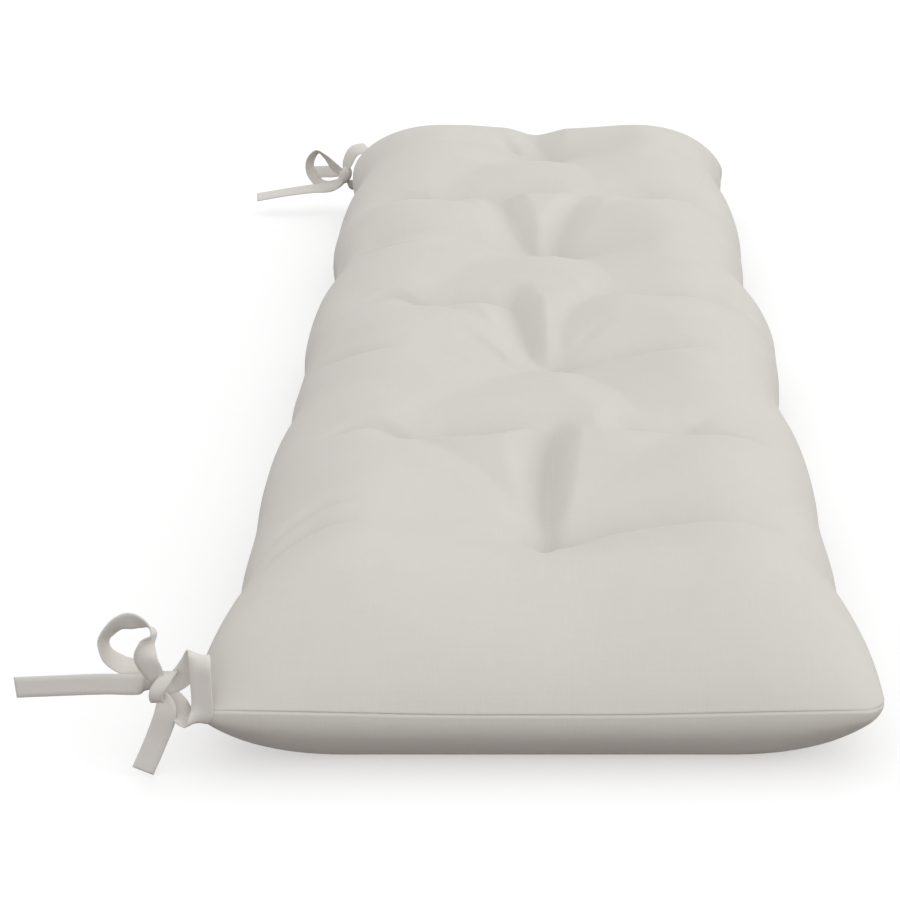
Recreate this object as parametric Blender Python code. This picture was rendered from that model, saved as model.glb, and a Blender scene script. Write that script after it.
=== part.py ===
"""Tufted bench cushion with a ribbon tie at each corner of its back edge, in metres, +Z up.

The cushion lies on its back on the plane z = 0. Its length runs along X and its depth along Y, with the
ties at +Y. The origin is on the flat underside, in the middle of the cushion.
"""

import math

import bmesh
import bpy
import numpy as np
from mathutils import Vector

# Driving dimensions of the cushion.
LENGTH = 1.372
DEPTH = 0.457
CROWN_HEIGHT = 0.129
SEAM_HEIGHT = 0.040
SEAM_CORNER_LIFT = 0.010
SEAM_CORNER_REACH = 0.130

# Tufting: rows across the depth, with one tuft on the middle line and two beside it by turns.
ROWS = 7
END_ROW = 0.150
ROW_PITCH = (LENGTH - 2 * END_ROW) / (ROWS - 1)
TUFTS = (
    # row  y      dimple  hollow  hollow's reach
    (1, -0.005, 0.007, 0.020, 0.200),
    (2, 0.085, 0.009, 0.013, 0.120),
    (2, -0.105, 0.009, 0.012, 0.120),
    (3, -0.013, 0.012, 0.014, 0.120),
    (4, 0.082, 0.009, 0.013, 0.120),
    (4, -0.108, 0.009, 0.012, 0.120),
    (5, -0.020, 0.012, 0.014, 0.120),
    (6, 0.080, 0.009, 0.013, 0.120),
    (6, -0.105, 0.009, 0.012, 0.120),
    (7, -0.006, 0.012, 0.016, 0.120),
)

# How far the sewn edge is drawn in between the corners.
END_PULL = 0.009
SIDE_PULL = 0.014
SIDE_WAVE = 0.005
PULL_START = 0.030
PULL_REACH = 0.110
CORNER_ROUND = 0.016

# How the two panels leave the sewn edge.
TOP_SHOULDER = 0.115
TOP_SQUARENESS = 2.0
BULGE = 0.006
UNDER_END_SHOULDER = 0.028
UNDER_SIDE_SHOULDER = 0.094
UNDER_SQUARENESS = 2.2

# Mesh lines: on each shoulder, and on the run between the shoulders.
SHOULDER_LINES = 7
LENGTH_LINES = 96
DEPTH_LINES = 20

# Dips in the panels, each with a sink, a reach and how far its bottom is blunted.
ODD_ROW_DIP = (0.008, 0.055, 0.005)
EVEN_ROW_DIP = (0.011, 0.055, 0.005)
UNDER_TUFT_DIP = (0.010, 0.040, 0.004)
DIMPLE_REACH = 0.050
DIMPLE_BLUNT = 0.004
HOLLOW_BLUNT = 0.010
DIP_POWER = 2.4
PLEAT_BLUNT = 0.003
PLEAT_END_REACH = 0.030
PLEAT_BLEND = 4
EDGE_FADE = 0.060
EDGE_KEEP = 0.18

# Pleats that run from tuft to tuft: start and end as (row, y), the sink at either end, and the reach
# towards the back edge and towards the front edge, so that one side of a pleat can be the steeper one.
PLEATS = (
    # start           end             sinks           reaches
    ((1.00, -0.004), (2.10, -0.018), (0.007, 0.011), (0.050, 0.018)),
    ((1.00, 0.002), (2.00, 0.085), (0.005, 0.006), (0.030, 0.050)),
    ((2.00, 0.080), (2.95, 0.004), (0.008, 0.008), (0.050, 0.035)),
    ((2.00, -0.095), (2.95, -0.022), (0.008, 0.006), (0.035, 0.045)),
    ((3.00, 0.005), (4.10, 0.015), (0.012, 0.009), (0.050, 0.018)),
    ((3.00, -0.020), (3.65, -0.068), (0.008, 0.002), (0.020, 0.035)),
    ((4.00, 0.080), (4.95, 0.000), (0.008, 0.008), (0.050, 0.035)),
    ((4.00, -0.100), (4.95, -0.030), (0.008, 0.006), (0.035, 0.045)),
    ((5.00, 0.006), (6.10, 0.031), (0.012, 0.009), (0.040, 0.018)),
    ((5.00, -0.018), (6.00, -0.040), (0.012, 0.008), (0.030, 0.018)),
    ((6.00, 0.085), (6.95, 0.020), (0.008, 0.006), (0.050, 0.035)),
    ((6.00, -0.105), (6.95, -0.015), (0.006, 0.006), (0.035, 0.045)),
    ((7.00, -0.006), (7.85, -0.008), (0.012, 0.006), (0.060, 0.025)),
)

# The ties: one flat ribbon at each corner of the back edge, sewn in at the middle of its length.
RIBBON_WIDTH = 0.015
RIBBON_THICKNESS = 0.0016
RIBBON_STEPS = 7
KNOT_RINGS = 8
KNOT_SIDES = 12
MILLIMETRE = 0.001
TIE_INSET = CORNER_ROUND * (1 - math.sqrt(0.5))
TIE_HEIGHT = SEAM_HEIGHT + SEAM_CORNER_LIFT

# Stations along each run of ribbon, in millimetres from the sewn corner: inwards along the length,
# outwards from the back edge and up; then the direction across the ribbon, and its share of full width.
NEAR_RING = (
    # in   out    up    across              width
    (6, 23, 11, (0.1, -0.1, -1.0), 0.55),
    (10, 17, 12, (0.1, -0.3, -0.95), 0.90),
    (11, 10, 18, (0.0, -0.5, -0.87), 1.00),
    (9, 4, 27, (0.0, -0.72, -0.7), 1.00),
    (6, 0, 35.5, (0.0, -0.87, -0.5), 0.95),
    (0, -3, 38, (-0.05, -0.98, -0.2), 0.95),
    (-4.3, -4, 32, (-0.22, -0.97, 0.0), 1.00),
    (-4.8, -4, 20, (-0.22, -0.97, 0.0), 1.00),
    (-4.8, -4, 5, (-0.22, -0.97, 0.0), 1.00),
    (-4.8, -2.5, -8, (0.0, -0.98, 0.15), 1.00),
    (-2.8, 3.5, -15, (0.35, -0.92, 0.1), 1.00),
    (3.5, 10.5, -12, (0.6, -0.76, 0.2), 1.00),
    (7.5, 15.5, -4, (0.6, -0.6, 0.5), 1.00),
    (8.5, 19, 2.5, (0.55, -0.55, 0.6), 0.80),
    (8, 23, 9, (0.5, -0.5, 0.7), 0.50),
)
NEAR_BOW = (
    (4, 25, 18, (0.3, -0.8, 0.5), 0.55),
    (1, 27, 26, (0.0, -0.85, 0.5), 0.90),
    (-1, 30, 36, (0.35, -0.92, 0.15), 1.00),
    (0, 29, 45, (0.75, -0.6, -0.1), 1.00),
    (2, 27, 52, (0.93, 0.1, -0.35), 1.00),
    (3, 31, 58, (0.85, 0.2, -0.5), 1.00),
    (5, 41, 60, (0.7, 0.2, -0.7), 1.00),
    (6, 51, 54.5, (0.7, -0.1, -0.7), 1.00),
    (7, 57.5, 45, (0.85, -0.2, -0.5), 1.00),
    (8, 57.5, 35, (0.97, -0.2, 0.0), 1.00),
    (11, 51, 27, (0.85, -0.1, 0.5), 1.00),
    (12, 40, 23, (0.7, 0.0, 0.7), 0.90),
    (8, 29, 18, (0.6, 0.1, 0.75), 0.55),
)
NEAR_SIDE_TAIL = (
    (5, 27, 13.5, (0.0, 0.05, -1.0), 0.40),
    (4, 34, 14.5, (0.0, 0.05, -1.0), 0.80),
    (3, 41, 15, (-0.05, 0.05, -1.0), 1.00),
    (2, 60, 16, (-0.05, 0.05, -1.0), 1.00),
    (3, 87, 15, (-0.05, 0.05, -1.0), 1.00),
    (5, 119.5, 12, (-0.05, 0.05, -1.0), 1.00),
)
NEAR_LOW_TAIL = (
    (3, 23, 9, (-0.1, -0.95, 0.2), 0.35),
    (1, 21.5, 2, (0.0, -0.97, -0.1), 0.65),
    (0, 23, -7, (0.0, -0.90, -0.35), 0.95),
    (0, 29.5, -25, (0.0, -0.87, -0.48), 1.00),
    (-2, 38.5, -45.5, (0.0, -0.88, -0.46), 1.00),
)
FAR_RING = (
    (4, 12.5, -1, (0.2, -0.25, -0.95), 0.50),
    (5, 9.1, 12, (0.3, -0.5, -0.8), 0.90),
    (4, 1, 26, (0.4, -0.75, -0.5), 1.00),
    (-1, -13, 29, (0.4, -0.75, -0.5), 1.00),
    (-6.6, -19, 24, (0.2, -0.95, -0.2), 1.00),
    (-7.6, -19, 10, (0.1, -1.0, 0.0), 1.00),
    (-7.6, -17, -7, (0.1, -1.0, 0.0), 1.00),
    (-7, -10, -18, (0.15, -0.98, 0.1), 1.00),
    (-5, -3, -23, (0.3, -0.94, 0.1), 0.90),
    (-1, 4, -20, (0.4, -0.88, 0.25), 0.75),
    (2, 8, -11, (0.45, -0.75, 0.45), 0.55),
)
FAR_BOW = (
    (4, 14, -8.5, (0.2, -0.1, -0.97), 0.55),
    (3, 25.5, -16, (0.6, 0.1, -0.78), 0.90),
    (1, 41.5, -16.5, (0.75, 0.4, -0.5), 1.00),
    (0, 54, -3, (0.78, 0.6, -0.2), 1.00),
    (1, 55, 13, (0.75, 0.55, 0.35), 1.00),
    (2, 46, 25, (0.88, 0.15, 0.45), 1.00),
    (3, 35, 18, (0.82, -0.3, 0.45), 1.00),
    (4, 25.5, 7, (0.6, -0.5, 0.6), 1.00),
    (4, 15.5, -1.5, (0.3, -0.55, 0.78), 0.55),
)
FAR_SIDE_TAIL = (
    (6, 15.5, -8, (0.25, 0.0, -0.97), 0.50),
    (10, 27, -16, (0.6, 0.0, -0.8), 0.80),
    (13, 41, -17.5, (0.8, 0.0, -0.6), 1.00),
    (13, 53.5, -18.5, (0.87, 0.0, -0.5), 1.00),
    (12, 86.5, -23.5, (0.9, 0.0, -0.42), 1.00),
    (12, 120.5, -29.5, (0.9, -0.1, -0.42), 1.00),
)
FAR_SHORT_TAIL = (
    (1, 15.5, -2, (0.2, -0.1, -0.97), 0.50),
    (-4, 28, -1.5, (0.5, -0.1, -0.86), 0.95),
    (-8, 41, -2.5, (0.55, -0.1, -0.83), 1.00),
    (-11, 53, -4, (0.55, -0.1, -0.83), 1.00),
)
# Each knot, in the same directions: its middle, its half sizes, and how far its top leans to the corner.
NEAR_KNOT = ((5, 24, 12.5), (6, 5.5, 11), 0.35)
FAR_KNOT = ((3, 12.5, -3.5), (6, 8, 11), 0.20)


def ramp(value):
    """0 below 0, 1 above 1, and smooth between."""
    t = np.clip(value, 0.0, 1.0)
    return t * t * (3.0 - 2.0 * t)


def dip(distance, sink, reach, blunt):
    """Depth of a dip with domed sides and a blunted bottom, at a distance from its middle."""
    soft = np.sqrt(distance * distance + blunt * blunt) - blunt
    return sink * np.clip(1.0 - soft / reach, 0.0, 1.0) ** DIP_POWER


def row_place(row):
    """The X of a tufted row, counted from 1 at the -X end."""
    return -LENGTH / 2 + END_ROW + ROW_PITCH * (row - 1)


def pleat_depth(x, y, start, end, sinks, reaches):
    """Depth of one pleat, whose two sides may reach out by different amounts."""
    x_start, x_end = row_place(start[0]), row_place(end[0])
    run = np.array([x_end - x_start, end[1] - start[1]])
    length = np.hypot(*run)
    run /= length
    along = (x - x_start) * run[0] + (y - start[1]) * run[1]
    aside = (y - start[1]) * run[0] - (x - x_start) * run[1]
    past = np.maximum(np.maximum(-along, along - length), 0.0)
    reach = np.where(aside > 0, reaches[0], reaches[1])
    share = np.clip(along / length, 0.0, 1.0)
    sink = sinks[0] + (sinks[1] - sinks[0]) * share
    return dip(np.hypot(aside, past * reach / PLEAT_END_REACH), sink, reach, PLEAT_BLUNT)


def line_places(half, lines):
    """Mesh line places along one axis, close together at the sewn edge, from -half to +half."""
    angles = np.linspace(0.0, math.pi / 2, SHOULDER_LINES + 1)
    shoulder = half - TOP_SHOULDER + TOP_SHOULDER * np.cos(angles) ** (2 / TOP_SQUARENESS)
    middle = np.linspace(-1.0, 1.0, lines + 1)[1:-1] * (half - TOP_SHOULDER)
    return np.concatenate([-shoulder, middle, shoulder[::-1]])


def rise(place, half, shoulder, squareness):
    """Share of the full height at a place along one axis: 0 on the sewn edge, 1 past the shoulder."""
    t = np.clip((np.abs(place) - (half - shoulder)) / shoulder, 0.0, 1.0)
    return (1.0 - t**squareness) ** (1 / squareness)


def outline(x, y):
    """Plan places after rounding the corners and drawing the edges in between them."""
    half_x = LENGTH / 2
    half_y = DEPTH / 2
    p = np.clip((np.abs(x) - half_x + CORNER_ROUND) / CORNER_ROUND, 0.0, 1.0)
    q = np.clip((np.abs(y) - half_y + CORNER_ROUND) / CORNER_ROUND, 0.0, 1.0)
    x_in = CORNER_ROUND * p * (1.0 - np.sqrt(1.0 - q * q / 2))
    y_in = CORNER_ROUND * q * (1.0 - np.sqrt(1.0 - p * p / 2))
    from_end = half_x - np.abs(x)
    from_side = half_y - np.abs(y)
    waist = (1.0 + np.cos(math.pi * (x - row_place(1)) / ROW_PITCH)) / 2
    wave = SIDE_WAVE * (2 * waist**2 - 1.0)
    side_pull = (SIDE_PULL + wave) * ramp((from_end - PULL_START) / PULL_REACH)
    end_pull = END_PULL * ramp((from_side - PULL_START) / PULL_REACH)
    x_in += end_pull * np.abs(x / half_x) ** 8
    y_in += side_pull * (y / half_y) ** 2
    return x - np.sign(x) * x_in, y - np.sign(y) * y_in


def seam_height(x, y):
    """Height of the sewn edge, which rises towards the corners."""
    from_corner = np.hypot(LENGTH / 2 - np.abs(x), DEPTH / 2 - np.abs(y))
    return SEAM_HEIGHT + SEAM_CORNER_LIFT * (1.0 - ramp(from_corner / SEAM_CORNER_REACH))


def normals_of(points):
    """Unit normals of a grid of points."""
    along = np.gradient(points, axis=0)
    across = np.gradient(points, axis=1)
    normal = np.cross(along, across)
    size = np.linalg.norm(normal, axis=2, keepdims=True)
    return normal / np.maximum(size, 1e-12)


def pressed(points, depth, edge):
    """The grid moved inwards along its normals by a depth that fades towards the sewn edge."""
    fade = EDGE_KEEP + (1.0 - EDGE_KEEP) * ramp(edge / EDGE_FADE)
    fade *= ramp(edge / 0.008)
    return points - normals_of(points) * (depth * fade)[..., None]


def cushion_grids():
    """Points of the top panel and of the lower one, which share the sewn edge."""
    half_x = LENGTH / 2
    half_y = DEPTH / 2
    x, y = np.meshgrid(line_places(half_x, LENGTH_LINES), line_places(half_y, DEPTH_LINES), indexing="ij")
    edge = np.minimum(half_x - np.abs(x), half_y - np.abs(y))
    plan_x, plan_y = outline(x, y)
    seam = seam_height(x, y)

    rise_x = rise(x, half_x, TOP_SHOULDER, TOP_SQUARENESS)
    rise_y = rise(y, half_y, TOP_SHOULDER, TOP_SQUARENESS)
    bulge_x = np.sign(x) * BULGE * 4 * rise_x * (1.0 - rise_x) * rise_y
    bulge_y = np.sign(y) * BULGE * 4 * rise_y * (1.0 - rise_y) * rise_x
    top_z = seam + (CROWN_HEIGHT - seam) * rise_x * rise_y
    top = np.stack([plan_x + bulge_x, plan_y + bulge_y, top_z], axis=2)
    depth = np.zeros_like(x)
    for row in range(1, ROWS + 1):
        row_dip = ODD_ROW_DIP if row % 2 else EVEN_ROW_DIP
        depth += dip(np.abs(x - row_place(row)), *row_dip)
    for row, tuft_y, dimple, hollow, reach in TUFTS:
        distance = np.hypot(x - row_place(row), y - tuft_y)
        depth += dip(distance, dimple, DIMPLE_REACH, DIMPLE_BLUNT)
        depth += dip(distance, hollow, reach, HOLLOW_BLUNT)
    pleats = sum(pleat_depth(x, y, *pleat) ** PLEAT_BLEND for pleat in PLEATS)
    depth += pleats ** (1 / PLEAT_BLEND)
    top = pressed(top, depth, edge)

    under_x = rise(x, half_x, UNDER_END_SHOULDER, UNDER_SQUARENESS)
    under_y = rise(y, half_y, UNDER_SIDE_SHOULDER, UNDER_SQUARENESS)
    under_z = seam * (1.0 - under_x * under_y)
    for row, tuft_y, *_ in TUFTS:
        under_z += dip(np.hypot(x - row_place(row), y - tuft_y), *UNDER_TUFT_DIP)
    under = np.stack([plan_x, plan_y, under_z], axis=2)
    return top, under


def material(name, color, roughness):
    made = bpy.data.materials.new(name)
    made.use_nodes = True
    shader = made.node_tree.nodes["Principled BSDF"]
    shader.inputs["Base Color"].default_value = (*color, 1.0)
    shader.inputs["Roughness"].default_value = roughness
    shader.inputs["Metallic"].default_value = 0.0
    return made


def new_object(name, points, faces, cloth):
    mesh = bpy.data.meshes.new(name)
    mesh.from_pydata([tuple(point) for point in points], [], faces)
    mesh.materials.append(cloth)
    mesh.shade_smooth()
    made = bpy.data.objects.new(name, mesh)
    bpy.context.scene.collection.objects.link(made)
    return made


def make_cushion():
    top, under = cushion_grids()
    rows, columns = top.shape[:2]
    inner = np.full((rows, columns), -1)
    inner[1:-1, 1:-1] = np.arange((rows - 2) * (columns - 2)).reshape(rows - 2, columns - 2)
    points = list(top.reshape(-1, 3))
    points += list(under[1:-1, 1:-1].reshape(-1, 3))

    def top_point(i, j):
        return i * columns + j

    def under_point(i, j):
        return top_point(i, j) if inner[i, j] < 0 else rows * columns + inner[i, j]

    faces = []
    for i in range(rows - 1):
        for j in range(columns - 1):
            corners = ((i, j), (i + 1, j), (i + 1, j + 1), (i, j + 1))
            faces.append([top_point(*corner) for corner in corners])
            faces.append([under_point(*corner) for corner in reversed(corners)])
    cloth = material("cushion_cloth", (0.69, 0.66, 0.62), 0.9)
    return new_object("cushion", points, faces, cloth)


def smooth_through(rows, steps):
    """Points on a smooth curve through every row, with a number of steps between two rows."""
    padded = np.vstack([2 * rows[0] - rows[1], rows, 2 * rows[-1] - rows[-2]])
    share = np.linspace(0.0, 1.0, steps, endpoint=False)[:, None]
    spans = []
    for before, start, end, after in zip(padded, padded[1:], padded[2:], padded[3:]):
        linear = (end - before) * share
        square = (2 * before - 5 * start + 4 * end - after) * share**2
        cube = (3 * start - before - 3 * end + after) * share**3
        spans.append(start + 0.5 * (linear + square + cube))
    return np.vstack(spans + [rows[-1:]])


def unit(vectors):
    return vectors / np.linalg.norm(vectors, axis=1, keepdims=True)


def ribbon(name, stations, end, cloth):
    """A flat strip swept through stations given from the sewn corner of one end, -1 or +1 along X."""
    corner = np.array([end * (LENGTH / 2 - TIE_INSET), DEPTH / 2 - TIE_INSET, TIE_HEIGHT])
    mirror = np.array([-end, 1.0, 1.0])
    rows = np.array([[*station[:3], *station[3], station[4]] for station in stations])
    rows = smooth_through(rows, RIBBON_STEPS)
    middle = corner + rows[:, :3] * mirror * MILLIMETRE
    along = unit(np.gradient(middle, axis=0))
    across = rows[:, 3:6] * mirror
    across = unit(across - np.sum(across * along, axis=1, keepdims=True) * along)
    half_width = across * rows[:, 6:] * RIBBON_WIDTH / 2
    half_thickness = np.cross(along, across) * RIBBON_THICKNESS / 2
    sides = ((1, 1), (-1, 1), (-1, -1), (1, -1))
    rings = np.stack([middle + a * half_width + b * half_thickness for a, b in sides], axis=1)
    count = len(sides)
    faces = [list(range(count)), [len(rings) * count - 1 - k for k in range(count)]]
    for start in range(0, (len(rings) - 1) * count, count):
        for k in range(count):
            after = (k + 1) % count
            quad = [start + k, start + count + k, start + count + after, start + after]
            # The two wide faces are split along matching diagonals, so that they can't cross in a twist.
            quad = quad[1:] + quad[:1] if k == 2 else quad
            faces += [quad[:3], quad[2:] + quad[:1]]
    return closed_object(name, rings.reshape(-1, 3), faces, cloth)


def closed_object(name, points, faces, cloth):
    """A new object whose faces all point outwards."""
    made = new_object(name, points, faces, cloth)
    shape = bmesh.new()
    shape.from_mesh(made.data)
    bmesh.ops.recalc_face_normals(shape, faces=shape.faces)
    shape.to_mesh(made.data)
    shape.free()
    return made


def make_knot(name, knot, end, cloth):
    """The tight knot, as one lump that the runs of ribbon go into."""
    middle, halves, lean = knot
    shape = bmesh.new()
    bmesh.ops.create_uvsphere(shape, u_segments=KNOT_SIDES, v_segments=KNOT_RINGS, radius=1.0)
    for vertex in shape.verts:
        inward, outward, up = (part * half for part, half in zip(vertex.co, halves))
        outward -= lean * up
        place = Vector((inward, outward, up)) + Vector(middle)
        vertex.co = (
            end * (LENGTH / 2 - TIE_INSET - place.x * MILLIMETRE),
            DEPTH / 2 - TIE_INSET + place.y * MILLIMETRE,
            TIE_HEIGHT + place.z * MILLIMETRE,
        )
    bmesh.ops.recalc_face_normals(shape, faces=shape.faces)
    mesh = bpy.data.meshes.new(name)
    shape.to_mesh(mesh)
    shape.free()
    mesh.materials.append(cloth)
    mesh.shade_smooth()
    made = bpy.data.objects.new(name, mesh)
    bpy.context.scene.collection.objects.link(made)
    return made


def make_tie(name, end, knot, runs):
    """One ribbon, tied: its runs are joined to the knot as a single body."""
    cloth = material(name + "_cloth", (0.69, 0.66, 0.62), 0.9)
    tie = make_knot(name, knot, end, cloth)
    for number, stations in enumerate(runs):
        run = ribbon(f"{name}_run_{number}", stations, end, cloth)
        run.hide_render = True
        run.display_type = "WIRE"
        join = tie.modifiers.new("join", "BOOLEAN")
        join.operation = "UNION"
        join.solver = "EXACT"
        join.use_self = True
        join.object = run
    return tie


for old in list(bpy.data.objects):
    bpy.data.objects.remove(old)

make_cushion()
make_tie("tie_near", -1, NEAR_KNOT, (NEAR_RING, NEAR_BOW, NEAR_SIDE_TAIL, NEAR_LOW_TAIL))
make_tie("tie_far", 1, FAR_KNOT, (FAR_RING, FAR_BOW, FAR_SIDE_TAIL, FAR_SHORT_TAIL))
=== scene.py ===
"""Looks of a long tufted bench cushion with a ribbon bow at each corner of its back edge.

Lengths are in metres, +Z is up. The cushion lies on z = 0, its length runs along X, and the ties are at +Y.
"""

import math

import bmesh
import bpy
import numpy as np
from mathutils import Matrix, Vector


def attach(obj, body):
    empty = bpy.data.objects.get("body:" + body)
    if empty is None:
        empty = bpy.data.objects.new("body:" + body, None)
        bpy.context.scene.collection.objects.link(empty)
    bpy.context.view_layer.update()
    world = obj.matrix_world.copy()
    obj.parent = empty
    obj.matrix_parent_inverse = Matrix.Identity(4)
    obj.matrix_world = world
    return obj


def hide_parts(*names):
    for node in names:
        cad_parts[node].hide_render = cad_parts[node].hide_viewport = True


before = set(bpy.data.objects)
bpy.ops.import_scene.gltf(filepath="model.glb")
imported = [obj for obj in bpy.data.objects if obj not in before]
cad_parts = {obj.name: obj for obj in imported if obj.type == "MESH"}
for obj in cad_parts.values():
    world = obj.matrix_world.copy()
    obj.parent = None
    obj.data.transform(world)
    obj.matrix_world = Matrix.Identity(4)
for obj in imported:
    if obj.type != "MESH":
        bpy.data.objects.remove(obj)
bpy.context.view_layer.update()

MILLIMETRE = 0.001
TINY = 1e-12

# Camera: it stands before the cushion's -X end and looks along its length, a little downwards.
CAMERA_BEFORE_END = 1.286
CAMERA_HEIGHT = 0.754
CAMERA_PITCH = math.radians(22.0)
CAMERA_LENS = 89.0
CAMERA_SENSOR = 36.0
CAMERA_SHIFT = -0.0983
CAMERA_REACH = 200.0

# Driving dimensions of the cushion. The sewn edge rises a little towards the corners.
LENGTH = 1.372
DEPTH = 0.457
CROWN_HEIGHT = 0.129
SEAM_HEIGHT = 0.0460
SEAM_CORNER_LIFT = 0.0040
SEAM_CORNER_REACH = 0.190

# Tufting: rows across the depth, with one tuft near the middle line and two beside it by turns. Rows are
# counted from 1 at the -X end, and a place between two rows is a fraction.
ROWS = 7
END_ROW = 0.150
ROW_PITCH = (LENGTH - 2 * END_ROW) / (ROWS - 1)
TUFTS = (
    # row   y      dimple  hollow  hollow's reach
    (1.00, -0.008, 0.006, 0.017, 0.150),
    (1.97, 0.107, 0.003, 0.004, 0.090),
    (2.01, -0.119, 0.003, 0.004, 0.090),
    (3.02, -0.017, 0.006, 0.012, 0.125),
    (3.88, 0.111, 0.003, 0.007, 0.090),
    (3.94, -0.121, 0.003, 0.001, 0.090),
    (4.98, -0.018, 0.006, 0.020, 0.120),
    (5.90, 0.110, 0.003, 0.007, 0.090),
    (5.94, -0.122, 0.003, 0.007, 0.090),
    (7.02, -0.008, 0.006, 0.023, 0.120),
)

# How far the sewn edge is drawn in between the corners, and most of all at the rows with one tuft.
NEAR_END_PULL = 0.001
FAR_END_PULL = 0.009
END_PULL_POWER = 8
SIDE_PULL = 0.014
SIDE_WAVE = 0.005
PULL_START = 0.030
PULL_REACH = 0.110
CORNER_ROUND = 0.016
# Where the uneven filling pushes a side edge further out or lets it in. The side is +1 at the back.
EDGE_SWELLS = (
    # row   side  out in mm
    (1.10, 1, 5.0),
    (1.60, 1, -3.0),
    (2.72, 1, -2.5),
    (3.02, 1, 5.0),
    (3.60, 1, -5.5),
    (5.35, 1, -3.0),
    (7.60, 1, -4.0),
    (1.10, -1, 5.5),
    (1.62, -1, -3.5),
    (4.15, -1, 4.0),
    (4.68, -1, -7.0),
    (5.60, -1, -3.5),
    (7.55, -1, -8.0),
)
EDGE_SWELL_REACH = 0.28

# How the top panel leaves the sewn edge. It slopes back from the near end's, at -X, with a swell low down
# on that slope, and stands up from the others. A squareness of 2 is an ellipse, and more is squarer.
TOP_SHOULDER = 0.115
TOP_BACK_SQUARENESS = 2.05
TOP_FRONT_SQUARENESS = 2.08
TOP_FAR_SQUARENESS = 2.35
NEAR_SWELL = 0.42
NEAR_SWELL_REACH = 0.060
BULGE = 0.001

# How the lower panel leaves the sewn edge. Its side shoulders widen towards the near end, and its near
# end is a round profile from the seam down: the share of the way down, and how far in, in mm.
UNDER_NEAR_PROFILE = (
    (0.000, 0.0),
    (0.161, -0.7),
    (0.352, 1.2),
    (0.543, 6.6),
    (0.717, 13.2),
    (0.870, 20.5),
    (0.967, 28.0),
    (1.000, 37.0),
)
UNDER_NEAR_SIDE_SHOULDER = 0.102
UNDER_NEAR_SIDE_REACH = 0.200
UNDER_END_SHOULDER = 0.028
UNDER_SIDE_SHOULDER = 0.094
UNDER_SQUARENESS = 2.2

# The seam: how deep the thread pulls it in, how wide that furrow is, and how far its two lips stand out.
SEAM_SINK = 0.0009
SEAM_FURROW = 0.0006
SEAM_LIP = 0.0002
SEAM_LIP_PLACE = 0.0020

# Mesh lines beside the seam, by their distance from it along the cloth, and the pitch of the others. The
# slant is the cloth's length for each length along X, just above the near end's seam.
SEAM_LINES = (0.0004, 0.0008, 0.0013, 0.0019, 0.0027, 0.0038, 0.0054, 0.0076)
NEAR_END_SLANT = 1.57
MESH_PITCH = 0.0037
NEAR_END_PITCH = 0.0028
UNDER_FINE_REACH = 0.034

# The broad press of each tufted row, all across the cushion.
ROW_SINKS = (0.004, 0.002, 0.004, 0.008, 0.011, 0.011, 0.003)
ROW_REACH = 0.090
ROW_BLUNT = 0.012
ROW_POWER = 1.5

# How the tufts' dimples and hollows fall off; the dip under each tuft: its sink, reach, bluntness and power.
DIMPLE_REACH = 0.040
DIMPLE_BLUNT = 0.003
DIMPLE_POWER = 2.4
HOLLOW_BLUNT = 0.010
HOLLOW_POWER = 1.35
UNDER_TUFT_DIP = (0.010, 0.040, 0.004, 2.4)

# Folds: channels, pleats and creases. Each follows a smooth curve, its course, through places given as
# (row, y). It has a sink at each place, and to the left and to the right of its course a reach and a
# power, which says how fast that side falls off. Where channels and pleats meet, they blend into about
# the deeper one.
FOLD_BLUNT = 0.0015
FOLD_BLEND = 4
CURVE_STEPS = 6
# Rows, tufts and folds fade towards the sewn edge to a share that they keep, and to nothing beside the seam.
EDGE_FADE = 0.060
EDGE_KEEP = 0.25
SEAM_FADE = 0.008

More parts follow.
